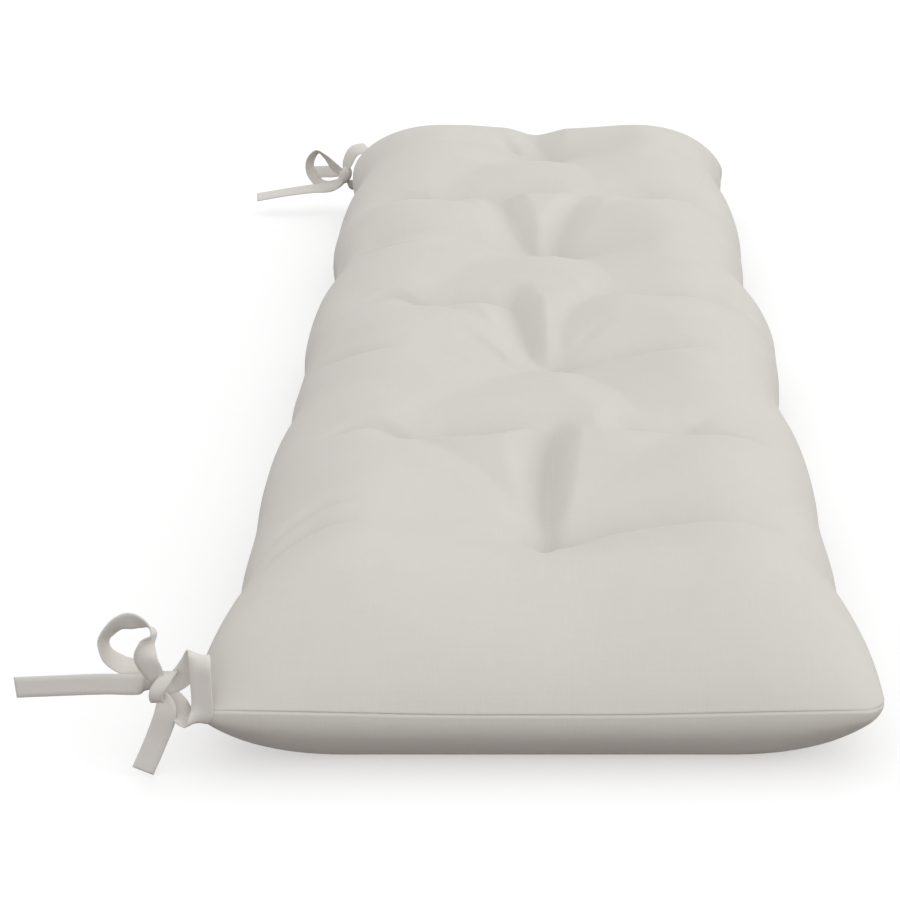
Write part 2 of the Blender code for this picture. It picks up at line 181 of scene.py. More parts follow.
# Valleys across the cushion along the rows. Each runs from the back edge towards the front one; its far
# side is a long slope, and its near side drops off behind a crest.
CHANNELS = (
    # course
    #  sinks in mm, reaches, powers
    (((1.16, 0.150), (1.14, 0.090), (1.10, 0.045), (1.05, 0.018), (1.00, -0.010)),
     (0, 1, 1, 4, 8), (0.060, 0.032), (1.5, 1.7)),
    (((1.00, -0.010), (1.08, -0.040), (1.11, -0.080), (1.11, -0.120), (1.09, -0.160), (1.02, -0.200)),
     (8, 13, 13, 12, 9, 1), (0.064, 0.030), (1.6, 1.6)),
    (((2.12, 0.222), (2.08, 0.180), (2.02, 0.140), (1.97, 0.107)),
     (3, 4, 4, 5), (0.060, 0.040), (1.5, 1.7)),
    (((1.97, 0.107), (1.98, 0.075), (1.97, 0.045), (2.01, 0.015), (2.02, -0.015), (2.02, -0.045)),
     (5, 13, 13, 8, 6, 1), (0.060, 0.028), (1.5, 1.6)),
    (((2.02, -0.045), (2.02, -0.070), (2.02, -0.119), (2.04, -0.160), (2.08, -0.200), (2.14, -0.225)),
     (1, 8, 9, 8, 5, 0), (0.062, 0.028), (1.5, 1.6)),
    (((3.20, 0.222), (3.14, 0.190), (3.12, 0.150), (3.14, 0.110)),
     (5, 5, 3, 0), (0.060, 0.035), (1.5, 1.7)),
    (((3.02, -0.018), (3.06, -0.045), (3.10, -0.085), (3.12, -0.130), (3.12, -0.170)),
     (6, 11, 12, 9, 2), (0.062, 0.028), (1.5, 1.6)),
    (((3.98, 0.222), (3.96, 0.180), (3.92, 0.145), (3.88, 0.111)),
     (3, 4, 4, 5), (0.060, 0.040), (1.5, 1.7)),
    (((3.88, 0.111), (3.86, 0.085), (3.84, 0.055), (3.84, 0.030), (3.88, 0.008)),
     (5, 12, 13, 10, 1), (0.058, 0.028), (1.5, 1.6)),
    (((3.98, -0.040), (4.00, -0.065), (4.00, -0.121), (3.98, -0.170), (3.92, -0.215)),
     (1, 8, 9, 8, 4), (0.060, 0.026), (1.5, 1.6)),
    (((5.12, 0.222), (5.08, 0.190), (5.05, 0.150), (5.05, 0.110)),
     (4, 4, 2, 0), (0.060, 0.035), (1.5, 1.7)),
    (((4.98, -0.019), (5.02, -0.045), (5.06, -0.085), (5.09, -0.130), (5.09, -0.165)),
     (6, 7, 6, 3, 0), (0.080, 0.034), (1.4, 1.6)),
    (((6.00, 0.222), (5.98, 0.180), (5.94, 0.145), (5.90, 0.110)),
     (2, 4, 4, 4), (0.060, 0.040), (1.5, 1.7)),
    (((5.90, 0.110), (5.90, 0.080), (5.90, 0.050), (5.92, 0.020), (5.90, -0.010), (5.90, -0.035)),
     (4, 11, 12, 8, 4, 2), (0.056, 0.028), (1.5, 1.6)),
    (((5.90, -0.035), (5.95, -0.070), (5.97, -0.122), (5.96, -0.160), (5.92, -0.200)),
     (2, 7, 9, 7, 1), (0.056, 0.026), (1.5, 1.6)),
    (((7.06, 0.200), (7.08, 0.150), (7.08, 0.110)),
     (1, 1, 0), (0.060, 0.040), (1.5, 1.7)),
    (((7.02, -0.010), (7.06, -0.040), (7.10, -0.080), (7.12, -0.120)),
     (6, 5, 3, 0), (0.080, 0.034), (1.4, 1.6)),
)
# Pleats from tuft to tuft, and shorter ones beside them and beyond the first and last tufts.
PLEATS = (
    (((1.02, -0.007), (0.88, -0.005), (0.74, -0.003)),
     (10, 7, 0), (0.010, 0.014), (1.4, 1.4)),
    (((1.02, -0.007), (1.25, -0.007), (1.55, -0.009), (1.80, -0.012), (1.99, -0.014), (2.11, -0.015)),
     (12, 17, 19, 19, 14, 0), (0.042, 0.0175), (1.6, 1.15)),
    (((1.02, 0.000), (1.25, 0.014), (1.50, 0.038), (1.75, 0.075), (1.99, 0.107)),
     (3, 5, 6, 5, 4), (0.030, 0.050), (1.6, 1.8)),
    (((1.02, -0.012), (1.50, -0.062), (2.05, -0.119)),
     (4, 2, 3), (0.050, 0.060), (2.0, 2.0)),
    (((1.99, 0.107), (2.30, 0.078), (2.64, 0.036), (2.88, 0.008), (3.04, -0.014)),
     (3, 3, 5, 8, 9), (0.050, 0.070), (1.6, 1.6)),
    (((2.08, -0.088), (2.35, -0.072), (2.65, -0.052), (3.04, -0.018)),
     (4, 7, 8, 8), (0.045, 0.090), (1.6, 1.3)),
    (((2.76, 0.016), (2.90, 0.024), (3.04, 0.035), (3.16, 0.052), (3.24, 0.075)),
     (3, 5, 5, 3, 0), (0.034, 0.013), (1.5, 1.6)),
    (((3.04, -0.010), (3.12, 0.003), (3.38, 0.009), (3.67, 0.0145), (3.88, 0.020), (4.01, 0.023),
      (4.11, 0.025)),
     (8, 13, 17, 18, 16, 9, 0), (0.045, 0.018), (1.6, 1.15)),
    (((3.05, -0.019), (3.43, -0.022), (3.76, -0.036), (3.96, -0.057), (4.06, -0.080)),
     (8, 8, 8, 6, 0), (0.030, 0.045), (1.5, 1.4)),
    (((3.08, -0.022), (3.30, -0.043), (3.48, -0.068)),
     (7, 6, 0), (0.012, 0.026), (1.6, 1.6)),
    (((3.04, 0.000), (3.40, 0.045), (3.90, 0.111)),
     (3, 3, 4), (0.030, 0.050), (1.8, 1.8)),
    (((3.90, 0.111), (4.25, 0.078), (4.60, 0.040), (4.82, 0.012), (4.98, -0.012)),
     (3, 3, 4, 7, 8), (0.050, 0.070), (1.6, 1.6)),
    (((4.04, -0.078), (4.30, -0.064), (4.62, -0.045), (4.98, -0.020)),
     (4, 6, 7, 7), (0.045, 0.085), (1.6, 1.3)),
    (((4.96, -0.010), (5.06, 0.010), (5.45, 0.028), (5.75, 0.037), (5.96, 0.042), (6.12, 0.045)),
     (8, 12, 15, 13, 6, 0), (0.045, 0.021), (1.6, 1.15)),
    (((4.98, -0.015), (5.12, -0.017), (5.33, -0.024), (5.66, -0.041), (5.90, -0.055)),
     (8, 14, 15, 10, 2), (0.022, 0.050), (1.4, 1.9)),
    (((4.98, 0.000), (5.40, 0.055), (5.92, 0.110)),
     (2, 2, 4), (0.030, 0.050), (1.8, 1.8)),
    (((4.98, -0.022), (5.40, -0.065), (5.97, -0.122)),
     (3, 2, 3), (0.045, 0.045), (2.0, 2.0)),
    (((5.92, 0.110), (6.20, 0.085), (6.60, 0.045), (6.85, 0.018), (7.02, -0.004)),
     (3, 3, 4, 6, 8), (0.050, 0.060), (1.6, 1.6)),
    (((6.00, -0.066), (6.30, -0.054), (6.62, -0.038), (7.02, -0.012)),
     (3, 4, 5, 6), (0.045, 0.075), (1.6, 1.4)),
    (((7.02, -0.008), (7.20, -0.006), (7.40, 0.000), (7.62, 0.004)),
     (8, 13, 15, 11), (0.038, 0.034), (1.7, 1.3)),
    (((7.04, 0.006), (7.14, 0.031), (7.30, 0.045)),
     (3, 9, 1), (0.018, 0.022), (1.6, 1.6)),
)

# Small creases that run out from the tufts and down the sides. Their sinks add to the others.
CREASES = (
    (((1.17, 0.130), (1.18, 0.160), (1.11, 0.188), (1.02, 0.208)),
     (0, 4, 4, 1), (0.009, 0.012), (1.6, 1.6)),
    (((0.99, 0.140), (0.98, 0.170), (0.89, 0.196), (0.78, 0.214)),
     (1, 6, 9, 6), (0.009, 0.014), (1.6, 1.6)),
    (((1.97, 0.108), (2.04, 0.122), (2.09, 0.142), (2.06, 0.160), (1.98, 0.180)),
     (2, 5, 5, 4, 0), (0.015, 0.008), (1.5, 1.5)),
    (((3.90, 0.110), (4.00, 0.130), (4.04, 0.150), (4.00, 0.172)),
     (2, 5, 5, 0), (0.014, 0.008), (1.5, 1.5)),
    (((5.92, 0.112), (5.99, 0.130), (6.01, 0.155), (5.96, 0.180)),
     (2, 4, 4, 0), (0.013, 0.008), (1.5, 1.5)),
    (((2.04, -0.117), (2.13, -0.134), (2.20, -0.152)),
     (1, 2, 0), (0.007, 0.008), (1.5, 1.5)),
    (((2.04, -0.122), (2.02, -0.158), (1.95, -0.195)),
     (2, 4, 1), (0.010, 0.009), (1.5, 1.5)),
    (((3.98, -0.120), (3.95, -0.152), (3.88, -0.196)),
     (2, 4, 1), (0.010, 0.009), (1.5, 1.5)),
    (((5.96, -0.122), (5.93, -0.155), (5.86, -0.180)),
     (2, 3, 0), (0.010, 0.009), (1.5, 1.5)),
    (((3.02, 0.125), (3.06, 0.150), (3.10, 0.178), (3.17, 0.210)),
     (0, 4, 7, 5), (0.009, 0.012), (1.6, 1.6)),
    (((4.86, 0.120), (4.86, 0.160), (4.97, 0.200)),
     (0, 5, 4), (0.009, 0.012), (1.6, 1.6)),
    (((7.00, 0.085), (6.98, 0.120), (6.92, 0.150)),
     (0, 3, 1), (0.009, 0.010), (1.6, 1.6)),
)

# The ties: one flat ribbon, tied in a bow, at each corner of the back edge.
RIBBON_WIDTH = 0.015
RIBBON_THICKNESS = 0.0013
RIBBON_ROUNDING = 0.45
RIBBON_STEPS = 16
NEAR_RIBBON_LENGTH = 0.41
FAR_RIBBON_LENGTH = 0.40
TIE_INSET = CORNER_ROUND * (1 - math.sqrt(0.5))
TIE_HEIGHT = SEAM_HEIGHT + SEAM_CORNER_LIFT

# Stations along each run of ribbon, in millimetres from the sewn corner: inwards along the length,
# outwards from the back edge and up; then the direction across the ribbon, and its share of full width.
NEAR_RING = (
    # in   out    up    across              width
    (6, 23, 11, (0.1, -0.1, -1.0), 0.55),
    (10, 17, 12, (0.1, -0.3, -0.95), 0.90),
    (11, 10, 18, (0.0, -0.5, -0.87), 1.00),
    (9, 4, 27, (0.0, -0.72, -0.7), 1.00),
    (6, 0, 35.5, (0.0, -0.87, -0.5), 0.95),
    (0, -3, 38, (-0.05, -0.98, -0.2), 0.95),
    (-4.3, -4, 32, (-0.22, -0.97, 0.0), 1.00),
    (-4.8, -4, 20, (-0.22, -0.97, 0.0), 1.00),
    (-4.8, -4, 5, (-0.22, -0.97, 0.0), 1.00),
    (-4.8, -2.5, -4, (0.0, -0.98, 0.15), 1.00),
    (-2.8, 2.5, -9.5, (0.35, -0.92, 0.1), 1.00),
    (3, 9.5, -8.5, (0.6, -0.76, 0.2), 1.00),
    (7, 14.5, -2, (0.6, -0.6, 0.5), 1.00),
    (8.5, 18.5, 4, (0.55, -0.55, 0.6), 0.80),
    (8, 23, 10, (0.5, -0.5, 0.7), 0.50),
)
NEAR_BOW = (
    (4, 25, 18, (0.1, -0.95, 0.2), 0.60),
    (1, 28.5, 27, (0.05, -1.0, 0.05), 0.95),
    (-1, 31.5, 37, (0.2, -0.9, -0.2), 1.00),
    (0, 30.5, 46, (0.6, -0.45, -0.6), 1.00),
    (2, 26, 53, (0.93, -0.1, -0.3), 1.00),
    (3, 31, 59.5, (0.72, 0.15, -0.68), 1.00),
    (4, 41, 61.5, (0.33, 0.2, -0.92), 1.00),
    (5, 51, 57, (0.55, 0.1, -0.8), 1.00),
    (7, 59, 46, (0.78, -0.19, -0.55), 1.00),
    (8, 58, 35, (0.9, -0.25, 0.0), 1.00),
    (11, 49.5, 26, (0.9, -0.25, 0.3), 1.00),
    (12, 38, 21.5, (0.8, -0.1, 0.55), 0.95),
    (8, 29, 18, (0.6, 0.1, 0.75), 0.60),
)
NEAR_SIDE_TAIL = (
    (6, 27, 13.5, (0.3, 0.05, -0.95), 0.45),
    (6, 33, 14.5, (0.35, 0.15, -0.93), 0.85),
    (3, 39, 15.5, (0.0, 0.05, -1.0), 1.00),
    (2, 60, 16.5, (-0.05, 0.0, -1.0), 1.00),
    (3, 87, 15, (-0.05, 0.0, -1.0), 1.00),
    (5, 119.5, 12.5, (-0.05, 0.0, -1.0), 1.00),
)
NEAR_LOW_TAIL = (
    (3, 23, 9, (-0.1, -0.95, 0.2), 0.45),
    (1, 21, 2, (0.0, -0.97, -0.1), 0.85),
    (0, 22, -7, (0.0, -0.90, -0.35), 1.00),
    (0, 29, -25, (0.0, -0.87, -0.48), 1.00),
    (-2, 38.5, -46, (0.0, -0.88, -0.46), 1.00),
)
NEAR_WRAP = (
    (11, 20, 20, (0.0, -1.0, 0.0), 0.62),
    (6, 17.5, 23, (0.0, -1.0, 0.1), 0.62),
    (0.5, 20.5, 20.5, (0.0, -1.0, 0.1), 0.62),
    (-2.5, 25.5, 13.5, (0.0, -1.0, 0.0), 0.62),
    (-1, 26.5, 6.5, (0.0, -1.0, 0.0), 0.62),
    (4, 25.5, 2.5, (0.0, -1.0, 0.0), 0.62),
    (10, 24, 5, (0.0, -1.0, 0.0), 0.62),
    (13, 22, 12, (0.0, -1.0, 0.0), 0.62),
    (11, 20, 20, (0.0, -1.0, 0.0), 0.62),
)
FAR_RING = (
    (4, 12.5, -1, (0.2, -0.25, -0.95), 0.50),
    (5, 9.1, 12, (0.3, -0.5, -0.8), 0.90),
    (4, 1, 26, (0.4, -0.75, -0.5), 1.00),
    (-1, -13, 29, (0.4, -0.75, -0.5), 1.00),
    (-6.6, -19, 24, (0.2, -0.95, -0.2), 1.00),
    (-7.6, -19, 10, (0.1, -1.0, 0.0), 1.00),
    (-7.6, -17, -7, (0.1, -1.0, 0.0), 1.00),
    (-7, -10, -18, (0.15, -0.98, 0.1), 1.00),
    (-5, -3, -23, (0.3, -0.94, 0.1), 0.90),
    (-1, 4, -20, (0.4, -0.88, 0.25), 0.75),
    (2, 8, -11, (0.45, -0.75, 0.45), 0.55),
)
FAR_BOW = (
    (4, 14, -8.5, (0.2, -0.1, -0.97), 0.55),
    (3, 25.5, -16, (0.6, 0.1, -0.78), 0.90),
    (1, 41.5, -16.5, (0.75, 0.4, -0.5), 1.00),
    (0, 54, -3, (0.78, 0.6, -0.2), 1.00),
    (1, 55, 13, (0.75, 0.55, 0.35), 1.00),
    (2, 46, 25, (0.88, 0.15, 0.45), 1.00),
    (3, 35, 18, (0.82, -0.3, 0.45), 1.00),
    (4, 25.5, 7, (0.6, -0.5, 0.6), 1.00),
    (4, 15.5, -1.5, (0.3, -0.55, 0.78), 0.55),
)
FAR_SIDE_TAIL = (
    (6, 15.5, -8, (0.25, 0.0, -0.97), 0.50),
    (10, 27, -16, (0.6, 0.0, -0.8), 0.80),
    (13, 41, -17.5, (0.8, 0.0, -0.6), 1.00),
    (13, 53.5, -18.5, (0.87, 0.0, -0.5), 1.00),
    (12, 86.5, -23.5, (0.9, 0.0, -0.42), 1.00),
    (12, 120.5, -29.5, (0.9, -0.1, -0.42), 1.00),
)
FAR_SHORT_TAIL = (
    (1, 15.5, -2, (0.2, -0.1, -0.97), 0.50),
    (-4, 28, -1.5, (0.5, -0.1, -0.86), 0.95),
    (-8, 41, -2.5, (0.55, -0.1, -0.83), 1.00),
    (-11, 53, -4, (0.55, -0.1, -0.83), 1.00),
)
# Each knot, in the same directions: its middle, its half sizes, and how far its top leans to the corner.
NEAR_KNOT = ((5, 23.5, 12.5), (5.5, 5.5, 8.5), 0.45)
FAR_KNOT = ((3, 12.5, -3.5), (6, 8, 11), 0.20)
KNOT_SIDES = 32
KNOT_RINGS = 20
KNOT_CLOTH_RADIUS = 0.006

# The cloth: a matt plain weave of a light warm grey, its threads a little uneven. Scales are per metre.
UV_NAME = "ClothPlan"
CLOTH_COLOR = (0.622, 0.600, 0.560)
TIE_COLOR = (0.700, 0.672, 0.635)
WARM_TINT = (1.012, 0.998, 0.992)
COOL_TINT = (0.990, 1.002, 1.004)
TINT_SCALE = 60.0
THREAD_PITCH = 0.0008
THREAD_ROUND = 0.6
THREAD_CROSSING = 0.4
THREAD_WAVER = 1.2
WAVER_SCALE = 160.0
SLUB_SCALE = 28.0
MOTTLE_SCALE = 14.0
MOTTLE_DETAIL = 3.0
WRINKLE_SCALE = 34.0
WRINKLE_STRETCH = 1.6
WRINKLE_DETAIL = 3.0
WRINKLE_GRAIN = 0.55
# The cloth's brightness: its least share, and what the slubs, the mottling and the weave each add to it.
LEAST_TONE = 0.88
SLUB_TONE = 0.10
MOTTLE_TONE = 0.06
WEAVE_TONE = 0.06
LEAST_ROUGHNESS = 0.82
SLUB_ROUGHNESS = 0.12
# Relief, as the strength and the depth of each kind.
WRINKLE_RELIEF = (0.35, 0.0012)
SLUB_RELIEF = (0.3, 0.0002)
WEAVE_RELIEF = (0.6, 0.00012)
SHEEN = 0.12
SHEEN_ROUGHNESS = 0.5
SPECULAR = 0.25

# Studio: an even white sky down to a soft horizon, a little warm light from below it, two broad low
# lights from the right and from before the near end, and a pale floor.
SKY_STRENGTH = 0.93
SKY_COLOR = (1.0, 1.0, 1.0)
HORIZON_TOP = -0.02
HORIZON_FOOT = -0.10
GROUND_LIGHT = (0.128, 0.098, 0.089)
RIGHT_TOWARDS = (0.0, -1.0, 0.2)
RIGHT_STRENGTH = 0.95
NEAR_TOWARDS = (-1.0, 0.0, 0.2)
NEAR_STRENGTH = 0.54
SUN_BREADTH = math.radians(50.0)
FLOOR_HALF = 60.0
FLOOR_DROP = -0.0006
FLOOR_COLOR = (0.60, 0.60, 0.60)
FLOOR_ROUGHNESS = 0.9
FLOOR_GLOW = 0.46


def ramp(value):
    """0 below 0, 1 above 1, and smooth between."""
    t = np.clip(value, 0.0, 1.0)
    return t * t * (3.0 - 2.0 * t)


def dip(distance, sink, reach, blunt, power):
    """Depth of a dip with a blunted bottom, at a distance from its middle."""
    soft = np.sqrt(distance * distance + blunt * blunt) - blunt
    return sink * np.clip(1.0 - soft / reach, 0.0, 1.0) ** power


def row_place(row):
    """The X of a tufted row, counted from 1 at the -X end."""
    return -LENGTH / 2 + END_ROW + ROW_PITCH * (row - 1)


def smooth_through(rows, steps):
    """Points on a smooth curve through every row, with a number of steps between two rows."""
    padded = np.vstack([2 * rows[0] - rows[1], rows, 2 * rows[-1] - rows[-2]])
    share = np.linspace(0.0, 1.0, steps, endpoint=False)[:, None]
    spans = []
    for before, start, end, after in zip(padded, padded[1:], padded[2:], padded[3:]):
        linear = (end - before) * share
        square = (2 * before - 5 * start + 4 * end - after) * share**2
        cube = (3 * start - before - 3 * end + after) * share**3
        spans.append(start + 0.5 * (linear + square + cube))
    return np.vstack(spans + [rows[-1:]])


def fold_depth(x, y, course, sinks, reaches, powers):
    """Depth of one fold, whose two sides may differ in reach and steepness."""
    places = np.array([[row_place(row), place_y] for row, place_y in course])
    curve = smooth_through(places, CURVE_STEPS)
    sink_at = np.interp(np.linspace(0, len(sinks) - 1, len(curve)), range(len(sinks)), sinks) * MILLIMETRE
    nearest = np.full(x.shape, np.inf)
    side = np.zeros(x.shape)
    sink = np.zeros(x.shape)
    for start, end, sink_start, sink_end in zip(curve, curve[1:], sink_at, sink_at[1:]):
        run = end - start
        length = np.hypot(*run)
        along = ((x - start[0]) * run[0] + (y - start[1]) * run[1]) / length**2
        aside = ((y - start[1]) * run[0] - (x - start[0]) * run[1]) / length
        share = np.clip(along, 0.0, 1.0)
        distance = np.hypot(aside, (along - share) * length)
        closer = distance < nearest
        nearest = np.where(closer, distance, nearest)
        side = np.where(closer, aside, side)
        sink = np.where(closer, sink_start + (sink_end - sink_start) * share, sink)
    leftness = ramp(0.5 + 0.5 * np.clip(side / np.maximum(nearest, TINY), -1.0, 1.0))
    reach = reaches[1] + (reaches[0] - reaches[1]) * leftness
    power = powers[1] + (powers[0] - powers[1]) * leftness
    return dip(nearest, sink, reach, FOLD_BLUNT, power)


def upright_lines():
    """Distances of the mesh lines from a sewn edge where the top panel stands up from it."""
    height = CROWN_HEIGHT - SEAM_HEIGHT
    seam_angles = np.array((0.0,) + SEAM_LINES) / height
    count = round((math.pi / 2 - seam_angles[-1]) * (height + TOP_SHOULDER) / 2 / MESH_PITCH)
    angles = np.concatenate([seam_angles, np.linspace(seam_angles[-1], math.pi / 2, count + 1)[1:]])
    return TOP_SHOULDER * (1.0 - np.cos(angles))


def slanted_lines():
    """Distances of the mesh lines from the near end's sewn edge, where the top panel slopes back."""
    seam = np.array((0.0,) + SEAM_LINES) / NEAR_END_SLANT
    count = round((TOP_SHOULDER - seam[-1]) / NEAR_END_PITCH)
    return np.concatenate([seam, np.linspace(seam[-1], TOP_SHOULDER, count + 1)[1:]])


def line_places(half, first, last):
    """Mesh line places along one axis, given their distances from the two sewn edges."""
    middle_count = round(2 * (half - TOP_SHOULDER) / MESH_PITCH)
    middle = np.linspace(-1.0, 1.0, middle_count + 1)[1:-1] * (half - TOP_SHOULDER)
    return np.concatenate([first - half, middle, (half - last)[::-1]])


def rise(place, half, shoulder, squareness):
    """Share of the full height at a place along one axis: 0 on the sewn edge, 1 past the shoulder."""
    t = np.clip((np.abs(place) - (half - shoulder)) / shoulder, 0.0, 1.0)
    return (1.0 - t**squareness) ** (1 / squareness)


def outline(x, y):
    """Plan places after rounding the corners and drawing the edges in between them."""
    half_x = LENGTH / 2
    half_y = DEPTH / 2
    p = np.clip((np.abs(x) - half_x + CORNER_ROUND) / CORNER_ROUND, 0.0, 1.0)
    q = np.clip((np.abs(y) - half_y + CORNER_ROUND) / CORNER_ROUND, 0.0, 1.0)
    x_in = CORNER_ROUND * p * (1.0 - np.sqrt(1.0 - q * q / 2))
    y_in = CORNER_ROUND * q * (1.0 - np.sqrt(1.0 - p * p / 2))
    from_end = half_x - np.abs(x)
    from_side = half_y - np.abs(y)
    waist = (1.0 + np.cos(math.pi * (x - row_place(1)) / ROW_PITCH)) / 2
    wave = SIDE_WAVE * (2 * waist**2 - 1.0)
    side_pull = (SIDE_PULL + wave) * ramp((from_end - PULL_START) / PULL_REACH)
    row = 1 + (x - row_place(1)) / ROW_PITCH
    for swell_row, side, out in EDGE_SWELLS:
        swell = out * MILLIMETRE * np.exp(-(((row - swell_row) / EDGE_SWELL_REACH) ** 2))
        side_pull -= np.where(np.sign(y) == side, swell, 0.0)
    end_pull = np.where(x < 0, NEAR_END_PULL, FAR_END_PULL) * ramp((from_side - PULL_START) / PULL_REACH)
    x_in += end_pull * np.abs(x / half_x) ** END_PULL_POWER
    y_in += side_pull * (y / half_y) ** 2
    return x - np.sign(x) * x_in, y - np.sign(y) * y_in


def seam_height(x, y):
    """Height of the sewn edge, which rises towards the corners."""
    from_corner = np.hypot(LENGTH / 2 - np.abs(x), DEPTH / 2 - np.abs(y))
    return SEAM_HEIGHT + SEAM_CORNER_LIFT * (1.0 - ramp(from_corner / SEAM_CORNER_REACH))


def normals_of(points):
    """Unit normals of a grid of points."""
    along = np.gradient(points, axis=0)
    across = np.gradient(points, axis=1)
    normal = np.cross(along, across)
    return normal / np.maximum(np.linalg.norm(normal, axis=2, keepdims=True), TINY)


def seam_profile(distance):
    """How far the cloth lies under its plain surface, at a distance from the seam."""
    furrow = SEAM_SINK * np.exp(-((distance / SEAM_FURROW) ** 2))
    lip = SEAM_LIP * np.exp(-(((distance - SEAM_LIP_PLACE) / SEAM_LIP_PLACE) ** 2) * 2)
    return furrow - lip * (distance > 0)


def outwards(x, y):
    """Level directions away from the cushion's middle, across the nearest stretch of its edge."""
    to_end = np.exp(-((LENGTH / 2 - np.abs(x)) / CORNER_ROUND))
    to_side = np.exp(-((DEPTH / 2 - np.abs(y)) / CORNER_ROUND))
    away = np.stack([np.sign(x) * to_end, np.sign(y) * to_side, np.zeros_like(x)], axis=2)
    return away / np.maximum(np.linalg.norm(away, axis=2, keepdims=True), TINY)


def cushion_depth(x, y):
    """How far the top panel is pressed in at each place."""
    depth = np.zeros_like(x)
    for row, sink in enumerate(ROW_SINKS, start=1):
        depth += dip(np.abs(x - row_place(row)), sink, ROW_REACH, ROW_BLUNT, ROW_POWER)
    for row, tuft_y, dimple, hollow, reach in TUFTS:
        distance = np.hypot(x - row_place(row), y - tuft_y)
        depth += dip(distance, dimple, DIMPLE_REACH, DIMPLE_BLUNT, DIMPLE_POWER)
        depth += dip(distance, hollow, reach, HOLLOW_BLUNT, HOLLOW_POWER)
    folds = sum(fold_depth(x, y, *fold) ** FOLD_BLEND for fold in CHANNELS + PLEATS)
    return depth + folds ** (1 / FOLD_BLEND) + sum(fold_depth(x, y, *crease) for crease in CREASES)


def top_panel(x, y):
    """Points of the top panel: crowned, a little swollen at its edges, and pressed in by what is sewn."""
    half_x = LENGTH / 2
    half_y = DEPTH / 2
    seam = seam_height(x, y)
    near_end = np.sin(math.pi / 2 * np.clip((half_x - np.abs(x)) / TOP_SHOULDER, 0.0, 1.0))
    rise_x = np.where(x < 0, near_end, rise(x, half_x, TOP_SHOULDER, TOP_FAR_SQUARENESS))
    squareness = np.where(y < 0, TOP_FRONT_SQUARENESS, TOP_BACK_SQUARENESS)
    rise_y = rise(y, half_y, TOP_SHOULDER, squareness)
    z = seam + (CROWN_HEIGHT - seam) * rise_x * rise_y
    bulge_x = np.sign(x) * BULGE * 4 * rise_x * (1.0 - rise_x) * rise_y
    bulge_y = np.sign(y) * BULGE * 4 * rise_y * (1.0 - rise_y) * rise_x
    near_swell = NEAR_SWELL * (z - seam) * np.exp(-(z - seam) / NEAR_SWELL_REACH)
    bulge_x -= np.where(x < 0, near_swell * (1.0 - near_end), 0.0)
    plan_x, plan_y = outline(x, y)
    plain = np.stack([plan_x + bulge_x, plan_y + bulge_y, z], axis=2)

    edge = np.minimum(half_x - np.abs(x), half_y - np.abs(y))
    fade = (EDGE_KEEP + (1.0 - EDGE_KEEP) * ramp(edge / EDGE_FADE)) * ramp(edge / SEAM_FADE)
    pressed = plain - normals_of(plain) * (cushion_depth(x, y) * fade)[..., None]
    return pressed - outwards(x, y) * seam_profile(z - seam)[..., None]


def lower_panel(x, y):
    """Points of the lower panel: round at its edges and flat inside, with a dimple under each tuft."""
    half_x = LENGTH / 2
    half_y = DEPTH / 2
    seam = seam_height(x, y)
    nearness = 1.0 - ramp((half_x + x) / UNDER_NEAR_SIDE_REACH)
    side_shoulder = UNDER_SIDE_SHOULDER + (UNDER_NEAR_SIDE_SHOULDER - UNDER_SIDE_SHOULDER) * nearness
    down_y = rise(y, half_y, side_shoulder, UNDER_SQUARENESS)

    profile = smooth_through(np.array(UNDER_NEAR_PROFILE), CURVE_STEPS)
    last = len(profile) - 1
    spot = (half_x + x) / (UNDER_NEAR_PROFILE[-1][1] * MILLIMETRE) * last
    near_down = np.interp(spot, range(last + 1), profile[:, 0])
    near_in = np.interp(spot, range(last + 1), profile[:, 1]) * MILLIMETRE
    near_in = np.where(near_in < 0, near_in * down_y, near_in)
    down_x = np.where(x < 0, near_down, rise(x, half_x, UNDER_END_SHOULDER, UNDER_SQUARENESS))
    place_x = np.where(spot < last, near_in - half_x, x)

    z = seam * (1.0 - down_x * down_y)
    for row, tuft_y, *_ in TUFTS:
        z += dip(np.hypot(x - row_place(row), y - tuft_y), *UNDER_TUFT_DIP)
    plain = np.stack([*outline(place_x, y), z], axis=2)
    return plain - outwards(x, y) * seam_profile(seam * down_x * down_y)[..., None]


def flat_places(points):
    """Flat cloth coordinates of a grid: arc lengths along its two middle lines, as two grids."""
    middle_row = points[:, points.shape[1] // 2]
    middle_column = points[points.shape[0] // 2]
    u = np.concatenate([[0.0], np.cumsum(np.linalg.norm(np.diff(middle_row, axis=0), axis=1))])
    v = np.concatenate([[0.0], np.cumsum(np.linalg.norm(np.diff(middle_column, axis=0), axis=1))])
    return np.meshgrid(u - u[-1] / 2, v - v[-1] / 2, indexing="ij")


def kept_lines(places):
    """The mesh lines that the lower panel keeps: all of them near the seam and every second one inside."""
    from_edge = places[-1] - np.abs(places)
    return [k for k in range(len(places)) if from_edge[k] < UNDER_FINE_REACH or k % 2]


def new_object(name, points, faces, uvs, cloth):
    """A mesh object with flat cloth coordinates, given for each face's corners in order."""
    mesh = bpy.data.meshes.new(name)
    mesh.from_pydata(np.asarray(points).tolist(), [], faces)
    layer = mesh.uv_layers.new(name=UV_NAME)
    layer.data.foreach_set("uv", np.asarray(uvs, dtype=np.float32).ravel())
    mesh.materials.append(cloth)
    mesh.shade_smooth()
    made = bpy.data.objects.new(name, mesh)
    bpy.context.scene.collection.objects.link(made)
    return made


